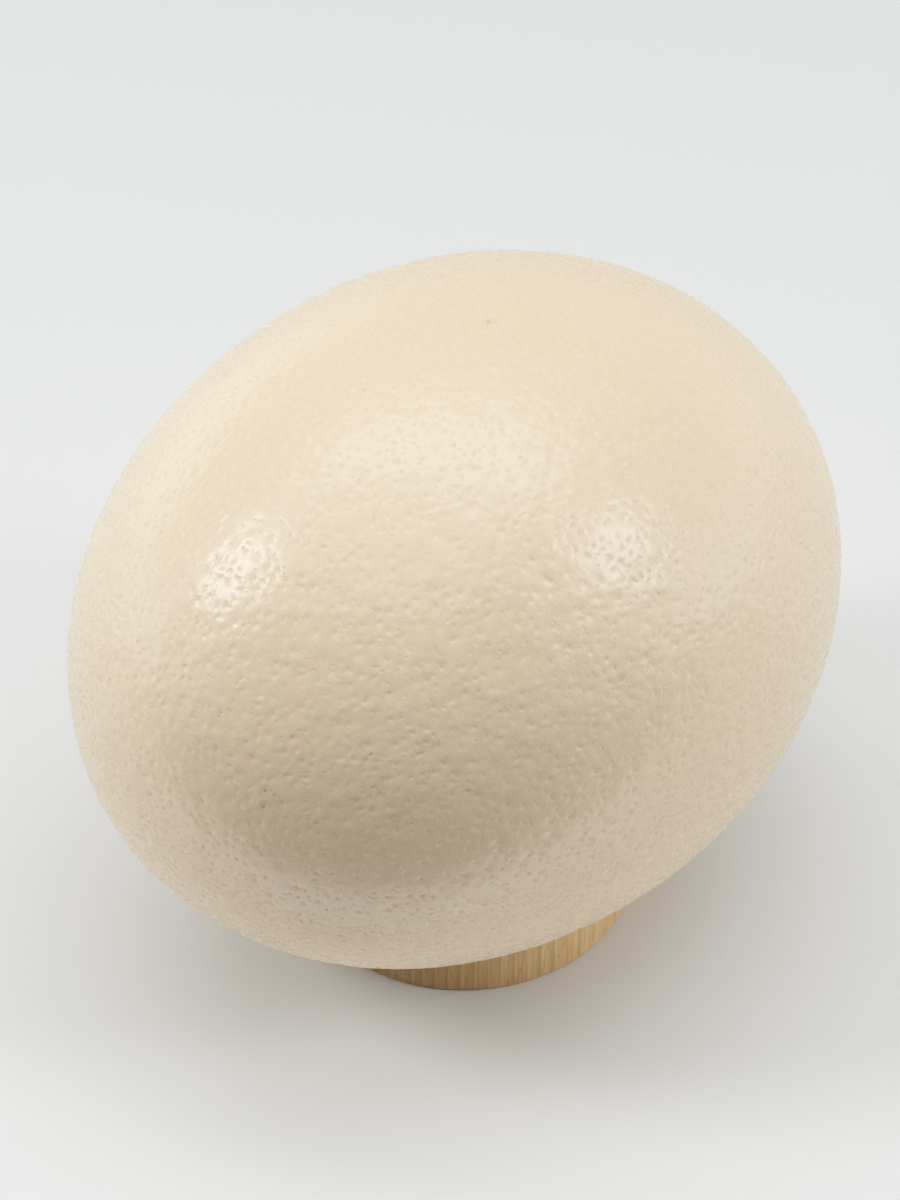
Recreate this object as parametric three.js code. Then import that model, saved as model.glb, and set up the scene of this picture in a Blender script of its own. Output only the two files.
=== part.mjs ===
// An ostrich egg lying on a shallow turned wooden ring.
// Units are millimetres and +Z is up. The egg's long axis lies along X. The origin is on the
// table under the middle of the egg, which is also the centre of the ring.
import * as THREE from 'three';

// The egg: a spheroid drawn out along X. Its two ends are alike, as they nearly are on an ostrich egg.
const EGG_LENGTH = 155;
const EGG_WIDTH = 125;
const EGG_FACETS_ROUND = 64;
const EGG_FACETS_ALONG = 36;

// The ring: a flat-bottomed band of light wood with a shallow coned seat turned into its top.
const RING_DIAMETER = 69;
const RING_HEIGHT = 10.8;
const BORE_DIAMETER = 48;
const RIM_ROUNDING = 1.0;
const FOOT_ROUNDING = 0.8;
const BORE_ROUNDING = 0.6;
const RING_FACETS_ROUND = 72;
const ROUNDING_STEPS = 2;

// The seat meets the egg on a circle of this radius, a hair's breadth below its surface.
const SEAT_RADIUS = 28;
const SEAT_HEIGHT = 9.7;
const SEAT_GAP = 0.3;

const IVORY = 0xe8dcc0;
const PALE_WOOD = 0xb08d58;

const eggHalfLength = EGG_LENGTH / 2;
const eggHalfWidth = EGG_WIDTH / 2;
const ringRadius = RING_DIAMETER / 2;
const boreRadius = BORE_DIAMETER / 2;

// Along X the egg's underside is an ellipse: its drop below the centre and its slope over the seat.
const seatShare = Math.sqrt(1 - (SEAT_RADIUS / eggHalfLength) ** 2);
const seatDrop = eggHalfWidth * seatShare;
const seatSlope = (eggHalfWidth * SEAT_RADIUS) / (eggHalfLength ** 2 * seatShare);
const eggCentreHeight = SEAT_HEIGHT + SEAT_GAP + seatDrop;

function makeEgg() {
  const outline = [];
  for (let i = 0; i <= EGG_FACETS_ALONG; i++) {
    const angle = (Math.PI * i) / EGG_FACETS_ALONG;
    const atPole = i === 0 || i === EGG_FACETS_ALONG;
    const radius = atPole ? 0 : eggHalfWidth * Math.sin(angle);
    outline.push(new THREE.Vector2(radius, -eggHalfLength * Math.cos(angle)));
  }
  const shape = new THREE.LatheGeometry(outline, EGG_FACETS_ROUND);
  shape.rotateZ(-Math.PI / 2);
  const shell = new THREE.MeshStandardMaterial({ color: IVORY, roughness: 0.35, metalness: 0 });
  const egg = new THREE.Mesh(shape, shell);
  egg.name = 'egg';
  egg.position.z = eggCentreHeight;
  return egg;
}

function seatHeightAt(radius) {
  return SEAT_HEIGHT + seatSlope * (radius - SEAT_RADIUS);
}

// The ring's section, radius against height, anticlockwise from the foot of the bore.
function ringSection() {
  const rimInnerRadius = SEAT_RADIUS + (RING_HEIGHT - SEAT_HEIGHT) / seatSlope;
  const seatFootRadius = boreRadius + BORE_ROUNDING;
  const section = new THREE.Path();
  section.moveTo(boreRadius + BORE_ROUNDING, 0);
  section.lineTo(ringRadius - FOOT_ROUNDING, 0);
  section.absarc(ringRadius - FOOT_ROUNDING, FOOT_ROUNDING, FOOT_ROUNDING, -Math.PI / 2, 0);
  section.lineTo(ringRadius, RING_HEIGHT - RIM_ROUNDING);
  section.absarc(ringRadius - RIM_ROUNDING, RING_HEIGHT - RIM_ROUNDING, RIM_ROUNDING, 0, Math.PI / 2);
  section.lineTo(rimInnerRadius, RING_HEIGHT);
  section.lineTo(seatFootRadius, seatHeightAt(seatFootRadius));
  section.lineTo(boreRadius, seatHeightAt(seatFootRadius) - BORE_ROUNDING);
  section.lineTo(boreRadius, BORE_ROUNDING);
  section.lineTo(boreRadius + BORE_ROUNDING, 0);
  return section.getPoints(ROUNDING_STEPS);
}

function makeRing() {
  const shape = new THREE.LatheGeometry(ringSection(), RING_FACETS_ROUND);
  shape.rotateX(Math.PI / 2);
  const wood = new THREE.MeshStandardMaterial({ color: PALE_WOOD, roughness: 0.6, metalness: 0 });
  const ring = new THREE.Mesh(shape, wood);
  ring.name = 'wooden_ring';
  return ring;
}

const model = new THREE.Group();
model.add(makeEgg(), makeRing());

export default model;
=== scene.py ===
"""An ostrich egg lying on a turned wooden ring: its shell, the wood, the floor, the light and the camera.

Blender's metres, +Z up. The frame gives the place and size of the egg and the ring; every other
length is a real one, written in millimetres times MM.
"""
import math

import bpy
import numpy as np
from mathutils import Euler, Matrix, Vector, noise
from mathutils.geometry import delaunay_2d_cdt
from mathutils.kdtree import KDTree


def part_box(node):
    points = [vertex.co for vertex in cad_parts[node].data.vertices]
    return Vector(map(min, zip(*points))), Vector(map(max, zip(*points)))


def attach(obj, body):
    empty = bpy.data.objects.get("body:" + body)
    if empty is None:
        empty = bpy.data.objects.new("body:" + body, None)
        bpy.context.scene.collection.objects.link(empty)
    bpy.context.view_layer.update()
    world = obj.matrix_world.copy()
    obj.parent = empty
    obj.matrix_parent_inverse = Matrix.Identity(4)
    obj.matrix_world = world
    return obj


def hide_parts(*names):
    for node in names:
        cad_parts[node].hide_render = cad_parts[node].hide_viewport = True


MM = 0.001

# --- The shell's mesh ------------------------------------------------------------------------
# An ostrich shell has about 19 pores to the square centimetre, each in a small funnel of its own.
PORE_COUNT = 11000
PORE_DARTS = 34000          # places tried, of which those too near an earlier one are dropped
PORE_GAP = 1.35 * MM        # nearest that two pores come
PORE_RADIUS = (0.28 * MM, 0.5 * MM)
PORE_DEPTH = (0.08 * MM, 0.22 * MM)
RIM_SHARE = 0.3             # depth of a funnel's rim, as a share of its middle
RIM_WOBBLE = (0.8, 1.2)     # a rim isn't quite round
RIM_REACH = 0.6             # a rim goes at most this share of the way to the land between pores
PEEL_HEIGHT = 0.009 * MM    # unevenness from point to point, like orange peel
SWELL_WAVES = (             # wavelength and half height of the shell's slower unevenness
    (55 * MM, 0.22 * MM),
    (17 * MM, 0.07 * MM),
    (3.2 * MM, 0.112 * MM),
    (1.7 * MM, 0.05 * MM),
)
SEED = 7
DIRTY_PORES = (             # about where a pore holds dirt, from the egg's middle
    (-69.0 * MM, -24.6 * MM, 14.3 * MM),
    (-68.6 * MM, -26.0 * MM, 13.0 * MM),
    (1.0 * MM, -4.0 * MM, 62.4 * MM),
    (-24.8 * MM, -1.9 * MM, 59.2 * MM),
    (-65.3 * MM, -23.4 * MM, -22.6 * MM),
)
DIRT_AT_RIM = 0.15

# --- The shell's surface ---------------------------------------------------------------------
# The material adds small pores between the modelled ones. If they were modelled too, the shell
# would take too many triangles. A pore counts as 1 in its middle and RIM_SHARE at its rim, and
# the land between pores counts as 0.
SHELL_IVORY = ("#e9d3b3", "#e4ccab")
CLOUD_WIDTH = 40 * MM               # the shell's colour drifts over about this
SMALL_PORE_GAP = 1.7 * MM
SMALL_PORE_FADE = (0.11, 0.21)      # where one starts to fade and where it ends, as shares of that
SMALL_PORE_SCATTER = 0.8            # 1 would be wholly at random
SMALL_PORE_DEPTH = 0.03 * MM
PORE_STAIN = "#dcc4a2"
STAINED_PORE = (0.35, 0.8)          # where a pore starts to be stained, and where it is in full
MARK_HEIGHTS = (50 * MM, 100 * MM)     # the pore marks and flecks are full below the first and faint above the second
FAINT_MARKS_HIGH_UP = 0.3
SPECKLE_WIDTH = 0.5 * MM            # stained flecks on the land
SPECKLE_LEVELS = (0.5, 0.75)
SPECKLE_STAIN = 0.6
PORE_DIRT = "#a08a69"
DULL_PORE = (0.2, 0.6)              # where a pore starts to lose its gloss, and where it is dullest
LAND_ROUGHNESS = 0.27
PORE_ROUGHNESS = 0.6
GRAIN_WIDTH = 1.1 * MM
GRAIN_HEIGHT = 0.07 * MM
PIT_DEPTH = 0.012 * MM              # rounds the bottoms of the modelled funnels

# --- The ring --------------------------------------------------------------------------------
BORE_DIAMETER = 48 * MM
SEAT_RADIUS = 28 * MM
SEAT_HEIGHT = 9.7 * MM
RIM_ROUNDING = 1.0 * MM
FOOT_ROUNDING = 0.8 * MM
BORE_ROUNDING = 0.6 * MM
RING_STEPS = 240
ROUNDING_STEPS = 6
PITH_OFFSET = (58 * MM, -31 * MM, 0)    # from the middle of the tree it was cut from; the growth rings centre on it, and the painted shade is darkest nearest it
GROWTH_RING = 2.4 * MM
WAVE_REPEAT = math.pi / 10  # width of one wave of Blender's wave texture at a scale of 1
LATE_WOOD = "#c19462"
LATE_WOOD_START = 0.5       # as a share of a growth ring
LATE_WOOD_STRENGTH = 0.5
PAINTED_SHADE_TONE = "#bfb4a8"      # painted shade: the side of the ring on the camera's left, nearest the pith, is darkened by this
# no painted shade: the far side of the ring keeps its own colour
UNSHADED_TONE = "#ffffff"
PAINTED_SHADE_REACH = (35 * MM, 90 * MM)          # from the pith, the painted shade fades out between these
BOARD_TAN = ("#d8ad79", "#f1cf9a")
FIBRE_WIDTH = 0.4 * MM      # real ones are a tenth of this, too fine to show, so they are coarser here
FIBRE_SQUEEZE = (1, 1, 0.03)            # draws the pattern out upwards into fibres
FIBRE_LEVELS = (0.32, 0.68)
FIBRE_HEIGHT = 0.06 * MM
FIBRE_ROUGHNESS = (0.68, 0.52)
FLECK_BROWN = "#8f6a3e"
FLECK_WIDTH = 0.5 * MM
FLECK_SQUEEZE = (1, 1, 0.16)            # draws the pattern out upwards into short flecks
FLECK_LEVELS = (0.64, 0.72)
FLECK_STRENGTH = 0.4
WORN_EDGE = "#e2c79d"
EDGE_WEAR = 0.35

# --- The camera ------------------------------------------------------------------------------
CAMERA_TURN = math.radians(43.85)     # its view runs this far round from +Y towards +X
CAMERA_DIP = math.radians(39.28)      # and this far down
CAMERA_DISTANCE = 414.8 * MM
CAMERA_LENS = 67.3                    # this and the sensor are told in millimetres
CAMERA_SENSOR = 36
CAMERA_NEAR = 10 * MM
AIM_LEFT = 2.7 * MM                   # it aims a little left of the egg's middle
AIM_UP = 0.6 * MM

# --- The floor and the light -----------------------------------------------------------------
# Turns are told from the camera's view: right of it counts as more.
PAPER = "#dbdcdb"
PAPER_ROUGHNESS = 0.9
DARK_TABLE = "#000000"
SHEET_FRONT = 135 * MM      # the sheet under the egg ends this far in front of it
SHEET_FADE = 40 * MM
FLOOR_REACH = 8000 * MM
FLOOR_SWEEP = (450 * MM, 1200 * MM)     # from the egg, where the floor runs into the backdrop
BACKDROP_GLOW = 0.95        # about as bright as the floor

# The tent's bright parts arch over the egg from left to right. Each has a name, the share of the
# way back where it is brightest, the share to either side of that where it ends, the heights
# where it fades out and where it is full, and its brightness on the left and on the right.
TENT_TURN = 5.4             # the tent faces this many degrees right of the view
TENT_PARTS = (
    ("side_walls", 0.035, 0.95, 0.5, 0.2, 1.77, 1.68),
    ("side_feet", 0.035, 0.5, 0.3, 0.02, 2.1, 2.2),
    ("back_walls", 0.7, 0.5, 0.5, 0.2, 1.98, 0.83),
    ("ceiling", 0.035, 0.95, 0.7, 0.95, 1.98, 1.98),
)

# The reflector stands for a pale card on the floor in front of the egg, just out of view.
REFLECTOR_FRONT = (85 * MM, 125 * MM)
REFLECTOR_WIDTH = 1600 * MM
REFLECTOR_LIFT = 1 * MM
REFLECTOR_GLOW = 0.95
LAMP_DISTANCE = 1500 * MM
COOL_WHITE = "#fcfeff"
WARM_WHITE = "#fffaf4"
# Each soft lamp's name, degrees right of the view, degrees up, degrees wide and high, brightness
# and colour.
LAMPS = (
    ("left_softbox", -99, 42, 14, 18, 16.5, COOL_WHITE),
    ("right_softbox", 107, 37, 14, 18, 11.5, COOL_WHITE),
    ("overhead_strip", 17, 83, 58, 15, 3.6, COOL_WHITE),
    ("front_panel", 180, 60, 40, 24, 0.8, WARM_WHITE),
)

FILM_WHITE = 1.3            # what the camera's tone curve rises to
FILM_BITE = 1.1             # above 1, the curve starts a little slowly, which deepens the shade
CURVE_SHARES = (0.03, 0.08, 0.16, 0.28, 0.42, 0.56, 0.7, 0.85)

MIX_FACTOR, MIX_A, MIX_B, MIX_RESULT = 0, 6, 7, 2     # a colour Mix node's sockets


def linear(hex_colour):
    """An sRGB hex colour as the linear RGBA that a socket takes."""
    shares = [int(hex_colour[i:i + 2], 16) / 255 for i in (1, 3, 5)]
    return [s / 12.92 if s <= 0.04045 else ((s + 0.055) / 1.055) ** 2.4 for s in shares] + [1.0]


def add(tree, kind, inputs=None, **settings):
    """Adds a node with its settings; inputs gives its sockets a value or another node's output."""
    node = tree.nodes.new(kind)
    for name, value in settings.items():
        setattr(node, name, value)
    for socket, value in (inputs or {}).items():
        if isinstance(value, bpy.types.NodeSocket):
            tree.links.new(value, node.inputs[socket])
        else:
            node.inputs[socket].default_value = value
    return node


def new_material(name):
    """A material with an empty node tree."""
    material = bpy.data.materials.new(name)
    material.use_nodes = True
    material.node_tree.nodes.clear()
    return material


def new_object(name, mesh):
    """Links a mesh into the scene, shaded smooth."""
    mesh.shade_smooth()
    piece = bpy.data.objects.new(name, mesh)
    bpy.context.scene.collection.objects.link(piece)
    return piece


# --- The egg ---------------------------------------------------------------------------------
def scatter_pores(half_size):
    """Points on a ball of radius 1 that land evenly on the egg once the ball is stretched to it.

    The first is the +X pole."""
    draw = np.random.default_rng(SEED)
    ball = draw.normal(size=(PORE_DARTS, 3))
    ball /= np.linalg.norm(ball, axis=1, keepdims=True)
    stretch = np.linalg.norm(ball / half_size, axis=1)
    ball = ball[draw.random(PORE_DARTS) < stretch / stretch.max()]
    ball[0] = (1, 0, 0)
    return ball[spaced_out(ball * half_size, PORE_GAP)][:PORE_COUNT]


def spaced_out(points, gap):
    """Which points stay when each is dropped that lies nearer than gap to an earlier one."""
    tree = KDTree(len(points))
    for number, point in enumerate(points):
        tree.insert(point, number)
    tree.balance()
    stays = np.ones(len(points), bool)
    for number, point in enumerate(points):
        if stays[number]:
            for _, near, _ in tree.find_range(point, gap):
                if near > number:
                    stays[near] = False
    return stays


def join_neighbours(ball):
    """Triangles that join neighbouring points of the ball, each listed so that it faces outwards.

    Seen from its +X pole the ball opens out flat with every point still among the same
    neighbours, so a flat triangulation serves, closed by a fan of triangles at the pole."""
    flat = ball[1:, 1:] / (1 - ball[1:, :1])
    whole_hull, tolerance = 0, 1e-9
    faces = delaunay_2d_cdt([Vector(p) for p in flat], [], [], whole_hull, tolerance)[2]
    triangles = [[number + 1 for number in face] for face in faces]
    sides = [(t[k - 1], t[k]) for t in triangles for k in range(3)]
    known = set(sides)
    triangles += [[b, a, 0] for a, b in sides if (b, a) not in known]
    triangles = np.array(triangles)
    a, b, c = (ball[triangles[:, k]] for k in range(3))
    inward = np.einsum("ij,ij->i", np.cross(b - a, c - a), a) < 0
    triangles[inward] = triangles[inward][:, ::-1]
    return triangles


def unit(vectors):
    return vectors / np.linalg.norm(vectors, axis=1, keepdims=True)


def swell(points):
    """How far the shell stands out from a true ellipse at each point."""
    heights = np.zeros(len(points))
    for number, (wavelength, half_height) in enumerate(SWELL_WAVES):
        # Each wave is read from a place of its own, so that no two line up.
        shift = Vector((7.3 * number, 1.9, 4.1))
        waves = [noise.noise(Vector(p) / wavelength + shift) for p in points]
        heights += half_height * np.array(waves)
    return heights


def make_egg():
    """The shell as one skin, with the funnels of its larger pores modelled in it.

    Around each pore is a ring of rim points, one towards each triangle that meets there, and in
    the middle of each triangle is a point of the land between its three pores."""
    low, high = (np.array(corner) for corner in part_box("egg"))
    centre = (low + high) / 2
    half_size = (high - low) / 2
    draw = np.random.default_rng(SEED + 1)

    ball = scatter_pores(half_size)
    triangles = join_neighbours(ball)
    count = len(ball)
    pores = ball * half_size
    land = unit(ball[triangles].mean(axis=1)) * half_size

    radius = draw.uniform(*PORE_RADIUS, count)
    depth = draw.uniform(*PORE_DEPTH, count) * (radius / max(PORE_RADIUS)) ** 0.5
    origin = triangles.ravel()
    half_edge = np.arange(len(origin))
    own_triangle = half_edge // 3
    away = land[own_triangle] - pores[origin]
    distance = np.linalg.norm(away, axis=1)
    wobble = draw.uniform(*RIM_WOBBLE, len(origin))
    reach = np.minimum(radius[origin] * wobble / distance, RIM_REACH)
    rims = pores[origin] + away * reach[:, None]

    points = np.vstack([pores, rims, land])
    points = unit(points / half_size) * half_size
    outward = unit(points / half_size ** 2)
    hollow = np.concatenate([depth, RIM_SHARE * depth[origin], np.zeros(len(land))])
    peel = PEEL_HEIGHT * draw.normal(size=len(points))
    points += outward * (swell(points) + peel - hollow)[:, None]

    # Each triangle's side from one pore to the next has the same side of the next triangle as
    # its twin, and between the two lie a slice of the funnel and a piece of its skirt.
    target = np.roll(triangles, -1, axis=1).ravel()
    key = origin * count + target
    order = np.argsort(key)
    twin = order[np.searchsorted(key[order], target * count + origin)]
    twin_next = twin - twin % 3 + (twin + 1) % 3
    rim = count + half_edge
    rim_before = count + twin_next
    rest = count + len(origin) + own_triangle
    rest_before = count + len(origin) + twin // 3
    funnels = np.stack([origin, rim_before, rim], axis=1)
    skirts = np.stack([rim_before, rest_before, rest, rim], axis=1)

    mesh = bpy.data.meshes.new("ostrich_egg_shell")
    mesh.from_pydata((points + centre).tolist(), [], funnels.tolist() + skirts.tolist())
    nearness = np.concatenate([np.ones(count), np.full(len(origin), RIM_SHARE), np.zeros(len(land))])
    mesh.attributes.new("pore", "FLOAT", "POINT").data.foreach_set("value", nearness)
    dirty = [np.argmin(np.linalg.norm(pores - place, axis=1)) for place in DIRTY_PORES]
    dirt = np.zeros(len(points))
    dirt[dirty] = 1
    dirt[rim[np.isin(origin, dirty)]] = DIRT_AT_RIM
    mesh.attributes.new("dirt", "FLOAT", "POINT").data.foreach_set("value", dirt)
    return new_object("egg_shell", mesh)


def eggshell():
    """Ostrich eggshell: calcite under a thin natural glaze. It is warm ivory with a soft gloss.
    The pores show as dull brownish dots, darker low down on the shell than high up, and a few of
    them hold dirt."""
    material = new_material("glazed_calcite_eggshell")
    tree = material.node_tree
    place = add(tree, "ShaderNodeTexCoord").outputs["Object"]

    pore = add(tree, "ShaderNodeAttribute", attribute_name="pore").outputs["Fac"]
    cells = add(tree, "ShaderNodeTexVoronoi", {"Vector": place, "Scale": 1 / SMALL_PORE_GAP,
                                               "Randomness": SMALL_PORE_SCATTER})
    small = add(tree, "ShaderNodeMapRange", {"Value": cells.outputs["Distance"],
                                             "From Min": SMALL_PORE_FADE[0],
                                             "From Max": SMALL_PORE_FADE[1],
                                             "To Min": 1.0, "To Max": 0.0},
                interpolation_type="SMOOTHSTEP")
    pores = add(tree, "ShaderNodeMath", {0: pore, 1: small.outputs["Result"]},
                operation="MAXIMUM").outputs["Value"]

    cloud = add(tree, "ShaderNodeTexNoise", {"Vector": place, "Scale": 1 / CLOUD_WIDTH, "Detail": 3.0})
    tint = add(tree, "ShaderNodeMix", {MIX_FACTOR: cloud.outputs["Fac"],
                                       MIX_A: linear(SHELL_IVORY[0]), MIX_B: linear(SHELL_IVORY[1])},
               data_type="RGBA")
    core = add(tree, "ShaderNodeMapRange", {"Value": pores, "From Min": STAINED_PORE[0],
                                            "From Max": STAINED_PORE[1]})
    fine = add(tree, "ShaderNodeTexNoise", {"Vector": place, "Scale": 1 / SPECKLE_WIDTH, "Detail": 1.0})
    speckle = add(tree, "ShaderNodeMapRange", {"Value": fine.outputs["Fac"],
                                               "From Min": SPECKLE_LEVELS[0],
                                               "From Max": SPECKLE_LEVELS[1],
                                               "To Max": SPECKLE_STAIN})
    marks = add(tree, "ShaderNodeMath", {0: core.outputs["Result"], 1: speckle.outputs["Result"]},
                operation="MAXIMUM")
    height = add(tree, "ShaderNodeSeparateXYZ", {0: place})
    # The pore marks and flecks are darker low down on the shell and fainter high up.
    low_down = add(tree, "ShaderNodeMapRange", {"Value": height.outputs["Z"],
                                                "From Min": MARK_HEIGHTS[0],
                                                "From Max": MARK_HEIGHTS[1],
                                                "To Min": 1.0, "To Max": FAINT_MARKS_HIGH_UP})
    stain = add(tree, "ShaderNodeMath", {0: marks.outputs["Value"], 1: low_down.outputs["Result"]},
                operation="MULTIPLY")
    stained = add(tree, "ShaderNodeMix", {MIX_FACTOR: stain.outputs["Value"],
                                          MIX_A: tint.outputs[MIX_RESULT], MIX_B: linear(PORE_STAIN)},
                  data_type="RGBA")
    dirt = add(tree, "ShaderNodeAttribute", attribute_name="dirt").outputs["Fac"]
    soiled = add(tree, "ShaderNodeMix", {MIX_FACTOR: dirt, MIX_A: stained.outputs[MIX_RESULT],
                                         MIX_B: linear(PORE_DIRT)},
                 data_type="RGBA")

    grain = add(tree, "ShaderNodeTexNoise", {"Vector": place, "Scale": 1 / GRAIN_WIDTH, "Detail": 2.0})
    skin = add(tree, "ShaderNodeBump", {"Height": grain.outputs["Fac"], "Distance": GRAIN_HEIGHT})
    pit = add(tree, "ShaderNodeMapRange", {"Value": pore, "From Min": RIM_SHARE, "From Max": 1.0,
                                           "To Min": 1.0, "To Max": 0.0},
              interpolation_type="SMOOTHSTEP")
    sunk = add(tree, "ShaderNodeBump", {"Height": pit.outputs["Result"], "Distance": PIT_DEPTH,
                                        "Normal": skin.outputs["Normal"]})
    bump = add(tree, "ShaderNodeBump", {"Height": small.outputs["Result"],
                                        "Distance": SMALL_PORE_DEPTH,
                                        "Normal": sunk.outputs["Normal"]}, invert=True)
    gloss = add(tree, "ShaderNodeMapRange", {"Value": pores, "From Min": DULL_PORE[0],
                                             "From Max": DULL_PORE[1],
                                             "To Min": LAND_ROUGHNESS, "To Max": PORE_ROUGHNESS})
    shell = add(tree, "ShaderNodeBsdfPrincipled", {
        "Base Color": soiled.outputs[MIX_RESULT],
        "Roughness": gloss.outputs["Result"],
        "IOR": 1.5,
        "Normal": bump.outputs["Normal"],
    })
    add(tree, "ShaderNodeOutputMaterial", {"Surface": shell.outputs["BSDF"]})
    return material


# --- The ring --------------------------------------------------------------------------------
def ring_section(radius, height, seat_slope):
    """The ring's section, radius against height, anticlockwise from the foot of the bore."""
    bore = BORE_DIAMETER / 2
    seat_foot = bore + BORE_ROUNDING

    def seat(at):
        return SEAT_HEIGHT + seat_slope * (at - SEAT_RADIUS)

    def corner(x, z, rounding, start):
        turn = [start + math.pi / 2 * step / ROUNDING_STEPS for step in range(ROUNDING_STEPS + 1)]
        return [(x + rounding * math.cos(t), z + rounding * math.sin(t)) for t in turn]

    rim_inner = SEAT_RADIUS + (height - SEAT_HEIGHT) / seat_slope
    return [
        *corner(radius - FOOT_ROUNDING, FOOT_ROUNDING, FOOT_ROUNDING, -math.pi / 2),
        *corner(radius - RIM_ROUNDING, height - RIM_ROUNDING, RIM_ROUNDING, 0),
        (rim_inner, height),
        (seat_foot, seat(seat_foot)),
        (bore, seat(seat_foot) - BORE_ROUNDING),
        *corner(bore + BORE_ROUNDING, BORE_ROUNDING, BORE_ROUNDING, math.pi),
    ]


def make_ring():
    """The wooden ring, its section turned about the upright axis."""
    low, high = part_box("wooden_ring")
    egg_low, egg_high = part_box("egg")
    half_length = (egg_high.x - egg_low.x) / 2
    half_width = (egg_high.y - egg_low.y) / 2
    seat_share = math.sqrt(1 - (SEAT_RADIUS / half_length) ** 2)
    seat_slope = half_width * SEAT_RADIUS / (half_length ** 2 * seat_share)
    section = ring_section((high.x - low.x) / 2, high.z - low.z, seat_slope)
    points, faces = [], []
    for step in range(RING_STEPS):
        turn = 2 * math.pi * step / RING_STEPS
        points += [(r * math.cos(turn), r * math.sin(turn), low.z + z) for r, z in section]
        for k in range(len(section)):
            here = step * len(section)
            there = (step + 1) % RING_STEPS * len(section)
            after = (k + 1) % len(section)
            faces.append((here + k, there + k, there + after, here + after))
    mesh = bpy.data.meshes.new("turned_ring")
    mesh.from_pydata(points, [], faces)
    return new_object("turned_ring", mesh)


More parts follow.
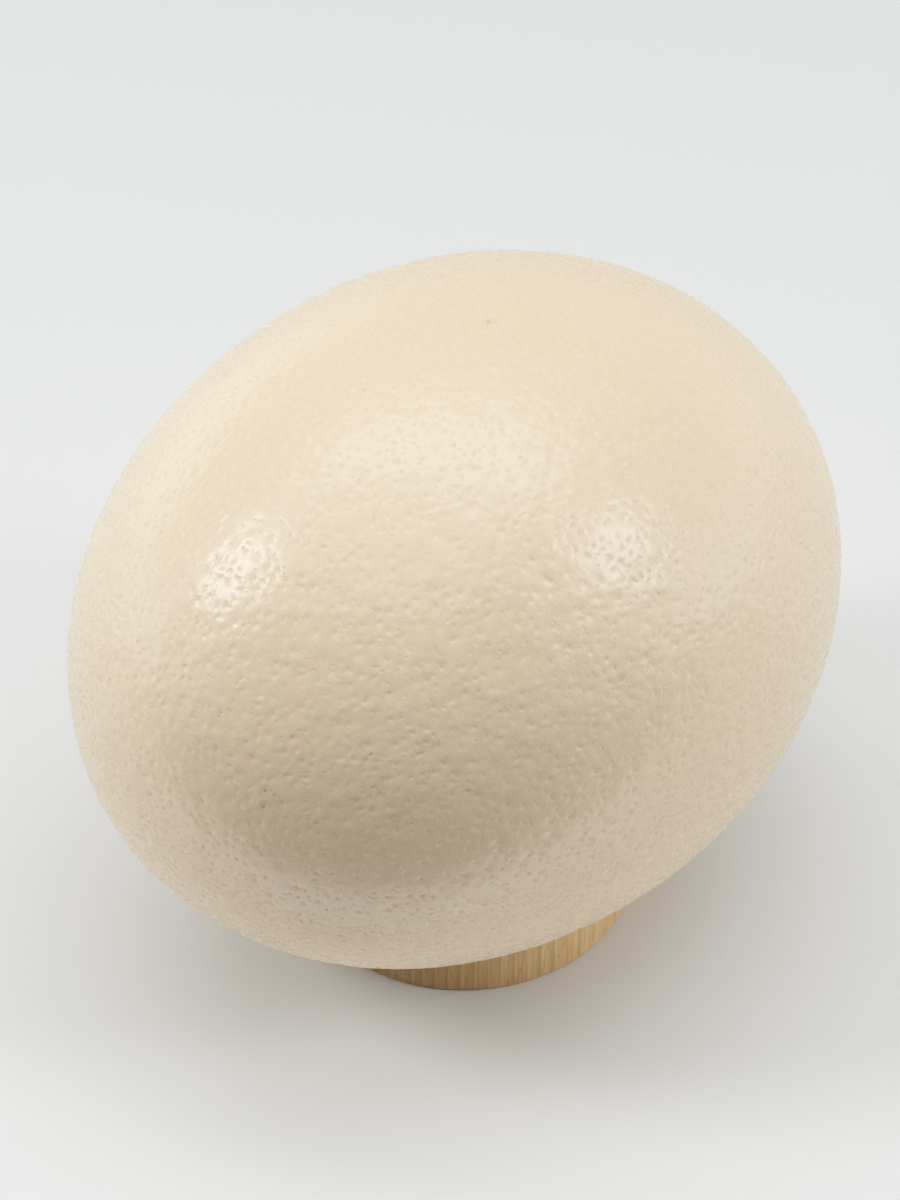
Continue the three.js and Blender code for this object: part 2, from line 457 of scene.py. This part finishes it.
def beech(ring_middle, half_ring):
    """Beech, turned with its fibres upright, sanded and left bare: pale tan and dull. The side
    shows fine upright fibres with short brown flecks, the faces show the growth rings, the side
    on the camera's left is darkened with painted shade, and the edges have worn a little paler."""
    material = new_material("sanded_bare_beech")
    tree = material.node_tree
    place = add(tree, "ShaderNodeTexCoord").outputs["Object"]

    upright = add(tree, "ShaderNodeMapping", {"Vector": place, "Scale": FIBRE_SQUEEZE})
    fibre = add(tree, "ShaderNodeTexNoise", {"Vector": upright.outputs["Vector"],
                                             "Scale": 1 / FIBRE_WIDTH, "Detail": 2.0})
    fibre_tone = add(tree, "ShaderNodeMapRange", {"Value": fibre.outputs["Fac"],
                                                  "From Min": FIBRE_LEVELS[0],
                                                  "From Max": FIBRE_LEVELS[1]})
    board = add(tree, "ShaderNodeMix", {MIX_FACTOR: fibre_tone.outputs["Result"],
                                        MIX_A: linear(BOARD_TAN[0]), MIX_B: linear(BOARD_TAN[1])},
                data_type="RGBA")

    from_pith = add(tree, "ShaderNodeMapping", {"Vector": place, "Location": PITH_OFFSET})
    growth = add(tree, "ShaderNodeTexWave", {
        "Vector": from_pith.outputs["Vector"],
        "Scale": WAVE_REPEAT / GROWTH_RING,
        "Distortion": 1.5,
        "Detail": 2.0,
        "Detail Scale": 0.4,
    }, wave_type="RINGS", rings_direction="Z", wave_profile="SAW")
    late_wood = add(tree, "ShaderNodeMapRange", {"Value": growth.outputs["Fac"],
                                                 "From Min": LATE_WOOD_START,
                                                 "To Max": LATE_WOOD_STRENGTH})
    ringed = add(tree, "ShaderNodeMix", {MIX_FACTOR: late_wood.outputs["Result"],
                                         MIX_A: board.outputs[MIX_RESULT], MIX_B: linear(LATE_WOOD)},
                 data_type="RGBA")
    # Painted shade: the wood darkens towards the pith, on the camera's left side of the ring.
    out = add(tree, "ShaderNodeVectorMath", {0: from_pith.outputs["Vector"]}, operation="LENGTH")
    shade_fade = add(tree, "ShaderNodeMapRange", {"Value": out.outputs["Value"],
                                               "From Min": PAINTED_SHADE_REACH[0], "From Max": PAINTED_SHADE_REACH[1]})
    painted_shade = add(tree, "ShaderNodeMix", {MIX_FACTOR: shade_fade.outputs["Result"],
                                        MIX_A: linear(PAINTED_SHADE_TONE), MIX_B: linear(UNSHADED_TONE)},
                data_type="RGBA")
    shaded_wood = add(tree, "ShaderNodeMix", {MIX_FACTOR: 1.0, MIX_A: ringed.outputs[MIX_RESULT],
                                        MIX_B: painted_shade.outputs[MIX_RESULT]},
                data_type="RGBA", blend_type="MULTIPLY")

    fleck_space = add(tree, "ShaderNodeMapping", {"Vector": place, "Scale": FLECK_SQUEEZE})
    fleck_noise = add(tree, "ShaderNodeTexNoise", {"Vector": fleck_space.outputs["Vector"],
                                                   "Scale": 1 / FLECK_WIDTH, "Detail": 1.0})
    fleck = add(tree, "ShaderNodeMapRange", {"Value": fleck_noise.outputs["Fac"],
                                             "From Min": FLECK_LEVELS[0],
                                             "From Max": FLECK_LEVELS[1], "To Max": FLECK_STRENGTH})
    flecked = add(tree, "ShaderNodeMix", {MIX_FACTOR: fleck.outputs["Result"],
                                          MIX_A: shaded_wood.outputs[MIX_RESULT], MIX_B: linear(FLECK_BROWN)},
                  data_type="RGBA")

    height = add(tree, "ShaderNodeSeparateXYZ", {0: place})
    from_middle = add(tree, "ShaderNodeMath", {0: height.outputs["Z"], 1: ring_middle},
                      operation="SUBTRACT")
    off_middle = add(tree, "ShaderNodeMath", {0: from_middle.outputs["Value"]}, operation="ABSOLUTE")
    worn = add(tree, "ShaderNodeMapRange", {"Value": off_middle.outputs["Value"],
                                            "From Min": half_ring - RIM_ROUNDING,
                                            "From Max": half_ring, "To Max": EDGE_WEAR})
    colour = add(tree, "ShaderNodeMix", {MIX_FACTOR: worn.outputs["Result"],
                                         MIX_A: flecked.outputs[MIX_RESULT], MIX_B: linear(WORN_EDGE)},
                 data_type="RGBA")

    gloss = add(tree, "ShaderNodeMapRange", {"Value": fibre.outputs["Fac"],
                                             "To Min": FIBRE_ROUGHNESS[0],
                                             "To Max": FIBRE_ROUGHNESS[1]})
    bump = add(tree, "ShaderNodeBump", {"Height": fibre.outputs["Fac"], "Distance": FIBRE_HEIGHT})
    wood = add(tree, "ShaderNodeBsdfPrincipled", {
        "Base Color": colour.outputs[MIX_RESULT],
        "Roughness": gloss.outputs["Result"],
        "IOR": 1.5,
        "Normal": bump.outputs["Normal"],
    })
    add(tree, "ShaderNodeOutputMaterial", {"Surface": wood.outputs["BSDF"]})
    return material


# --- The studio ------------------------------------------------------------------------------
def matt_paper(front):
    """Matt white paper: plain and without gloss. The sheet that lights the egg from below ends a
    hand's breadth in front of it, as a sheet laid on a dark table does; the camera sees it run on
    and sweep up into the backdrop."""
    material = new_material("matt_white_paper")
    tree = material.node_tree
    place = add(tree, "ShaderNodeNewGeometry").outputs["Position"]
    seen = add(tree, "ShaderNodeLightPath").outputs["Is Camera Ray"]

    forward = add(tree, "ShaderNodeVectorMath", {0: place, 1: front}, operation="DOT_PRODUCT")
    past_edge = add(tree, "ShaderNodeMapRange", {
        "Value": forward.outputs["Value"],
        "From Min": SHEET_FRONT - SHEET_FADE / 2,
        "From Max": SHEET_FRONT + SHEET_FADE / 2,
    })
    unseen = add(tree, "ShaderNodeMath", {0: 1.0, 1: seen}, operation="SUBTRACT")
    table = add(tree, "ShaderNodeMath", {0: past_edge.outputs["Result"], 1: unseen.outputs["Value"]},
                operation="MULTIPLY")
    colour = add(tree, "ShaderNodeMix", {MIX_FACTOR: table.outputs["Value"],
                                         MIX_A: linear(PAPER), MIX_B: linear(DARK_TABLE)},
                 data_type="RGBA")
    paper = add(tree, "ShaderNodeBsdfPrincipled", {
        "Base Color": colour.outputs[MIX_RESULT],
        "Roughness": PAPER_ROUGHNESS,
    })

    away = add(tree, "ShaderNodeVectorMath", {0: place}, operation="LENGTH")
    sweep = add(tree, "ShaderNodeMapRange", {"Value": away.outputs["Value"],
                                             "From Min": FLOOR_SWEEP[0],
                                             "From Max": FLOOR_SWEEP[1]},
                interpolation_type="SMOOTHSTEP")
    seen_sweep = add(tree, "ShaderNodeMath", {0: sweep.outputs["Result"], 1: seen},
                     operation="MULTIPLY")
    backdrop = add(tree, "ShaderNodeEmission", {"Strength": BACKDROP_GLOW})
    sheet = add(tree, "ShaderNodeMixShader", {0: seen_sweep.outputs["Value"],
                                              1: paper.outputs["BSDF"],
                                              2: backdrop.outputs["Emission"]})
    add(tree, "ShaderNodeOutputMaterial", {"Surface": sheet.outputs["Shader"]})
    return material


def make_floor(front):
    """A plain pale floor that reaches well past every view."""
    half = FLOOR_REACH
    mesh = bpy.data.meshes.new("floor")
    mesh.from_pydata([(-half, -half, 0), (half, -half, 0), (half, half, 0), (-half, half, 0)],
                     [], [(0, 1, 2, 3)])
    floor = new_object("floor", mesh)
    floor.data.materials.append(matt_paper(front))


def towards(turn, rise):
    """The direction this many degrees right of the camera's view and this high over the floor."""
    turn = CAMERA_TURN + math.radians(turn)
    rise = math.radians(rise)
    return Vector((math.sin(turn) * math.cos(rise), math.cos(turn) * math.cos(rise), math.sin(rise)))


def add_panel(name, width, height, glow, colour):
    """An evenly glowing panel, not yet put in its place."""
    lamp = bpy.data.lights.new(name, "AREA")
    lamp.shape = "RECTANGLE"
    lamp.size, lamp.size_y = width, height
    lamp.energy = glow * math.pi * lamp.size * lamp.size_y
    lamp.color = linear(colour)[:3]
    stand = bpy.data.objects.new(name, lamp)
    bpy.context.scene.collection.objects.link(stand)
    return stand


def make_lamps():
    """The soft lamps round the egg, and the card on the floor that lights it from the front."""
    for name, turn, rise, degrees_wide, degrees_high, glow, colour in LAMPS:
        width, height = (2 * LAMP_DISTANCE * math.tan(math.radians(degrees / 2))
                         for degrees in (degrees_wide, degrees_high))
        lamp = add_panel(name, width, height, glow, colour)
        lamp.location = towards(turn, rise) * LAMP_DISTANCE
        lamp.rotation_euler = towards(turn, rise).to_track_quat("Z", "Y").to_euler()
    near, far = REFLECTOR_FRONT
    card = add_panel("reflector", REFLECTOR_WIDTH, far - near, REFLECTOR_GLOW, WARM_WHITE)
    card.location = towards(180, 0) * (near + far) / 2 + Vector((0, 0, REFLECTOR_LIFT))
    card.rotation_euler = Euler((math.pi, 0, -CAMERA_TURN))


def make_tent():
    """A light tent: bright on either side of the egg and above it, dimmer behind it and dark in
    front. The camera sees a plain backdrop instead."""
    world = bpy.data.worlds.new("tent")
    bpy.context.scene.world = world
    world.use_nodes = True
    tree = world.node_tree
    tree.nodes.clear()
    way = add(tree, "ShaderNodeTexCoord").outputs["Generated"]
    height = add(tree, "ShaderNodeSeparateXYZ", {0: way}).outputs["Z"]
    back = add(tree, "ShaderNodeVectorMath", {0: way, 1: towards(TENT_TURN, 0)},
               operation="DOT_PRODUCT").outputs["Value"]
    sideways = add(tree, "ShaderNodeVectorMath", {0: way, 1: towards(90, 0)},
                   operation="DOT_PRODUCT").outputs["Value"]
    total = 0.0
    for name, crest, reach, fades_out, is_full, left_glow, right_glow in TENT_PARTS:
        off_crest = add(tree, "ShaderNodeMath", {0: back, 1: crest}, operation="SUBTRACT")
        distance = add(tree, "ShaderNodeMath", {0: off_crest.outputs["Value"]}, operation="ABSOLUTE")
        arch = add(tree, "ShaderNodeMapRange", {"Value": distance.outputs["Value"], "To Min": 1.0,
                                                "From Max": reach, "To Max": 0.0},
                   interpolation_type="SMOOTHSTEP", label=name)
        side = add(tree, "ShaderNodeMapRange", {"Value": sideways, "From Min": -1.0,
                                                "To Min": left_glow, "To Max": right_glow})
        level = add(tree, "ShaderNodeMapRange", {"Value": height, "From Min": fades_out,
                                                 "From Max": is_full},
                    interpolation_type="SMOOTHSTEP")
        part = add(tree, "ShaderNodeMath", {0: arch.outputs["Result"], 1: side.outputs["Result"]},
                   operation="MULTIPLY")
        total = add(tree, "ShaderNodeMath", {0: part.outputs["Value"], 1: level.outputs["Result"],
                                             2: total},
                    operation="MULTIPLY_ADD").outputs["Value"]
    tent = add(tree, "ShaderNodeBackground", {"Color": linear(COOL_WHITE), "Strength": total})
    backdrop = add(tree, "ShaderNodeBackground", {"Color": (1, 1, 1, 1), "Strength": BACKDROP_GLOW})
    seen = add(tree, "ShaderNodeLightPath").outputs["Is Camera Ray"]
    choice = add(tree, "ShaderNodeMixShader", {0: seen, 1: tent.outputs["Background"],
                                               2: backdrop.outputs["Background"]})
    add(tree, "ShaderNodeOutputWorld", {"Surface": choice.outputs["Shader"]})


def film(light):
    return FILM_WHITE * (1 - math.exp(-light ** FILM_BITE))


def expose():
    """A camera's tone curve: bright tones roll off softly instead of clipping."""
    full_light = (-math.log(1 - 1 / FILM_WHITE)) ** (1 / FILM_BITE)
    view = bpy.context.scene.view_settings
    view.view_transform = "Standard"
    view.use_curve_mapping = True
    view.curve_mapping.white_level = (full_light,) * 3
    for share in CURVE_SHARES:
        view.curve_mapping.curves[3].points.new(share, film(share * full_light))
    view.curve_mapping.update()


def make_camera(egg_middle):
    """The camera looks down on the egg along its own turn and dip."""
    scene = bpy.context.scene
    eye = bpy.data.objects.new("camera", bpy.data.cameras.new("camera"))
    scene.collection.objects.link(eye)
    eye.rotation_euler = Euler((math.pi / 2 - CAMERA_DIP, 0, -CAMERA_TURN))
    right, up, back = eye.rotation_euler.to_matrix().col
    eye.location = egg_middle - right * AIM_LEFT + up * AIM_UP + back * CAMERA_DISTANCE
    eye.data.lens = CAMERA_LENS
    eye.data.sensor_width = CAMERA_SENSOR
    eye.data.clip_start = CAMERA_NEAR
    scene.camera = eye


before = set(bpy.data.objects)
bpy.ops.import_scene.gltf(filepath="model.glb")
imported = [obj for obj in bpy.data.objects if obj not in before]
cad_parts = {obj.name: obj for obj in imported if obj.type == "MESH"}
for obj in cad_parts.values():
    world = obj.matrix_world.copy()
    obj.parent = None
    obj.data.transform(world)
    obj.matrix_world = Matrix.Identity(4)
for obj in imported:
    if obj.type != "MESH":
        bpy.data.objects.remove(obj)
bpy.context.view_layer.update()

egg = make_egg()
egg.data.materials.append(eggshell())
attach(egg, "root")
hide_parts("egg")

ring = make_ring()
ring_low, ring_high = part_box("wooden_ring")
ring.data.materials.append(beech((ring_low.z + ring_high.z) / 2, (ring_high.z - ring_low.z) / 2))
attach(ring, "root")
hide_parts("wooden_ring")

make_floor(front=-towards(0, 0))
make_lamps()
make_tent()
expose()
egg_low, egg_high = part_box("egg")
make_camera((egg_low + egg_high) / 2)
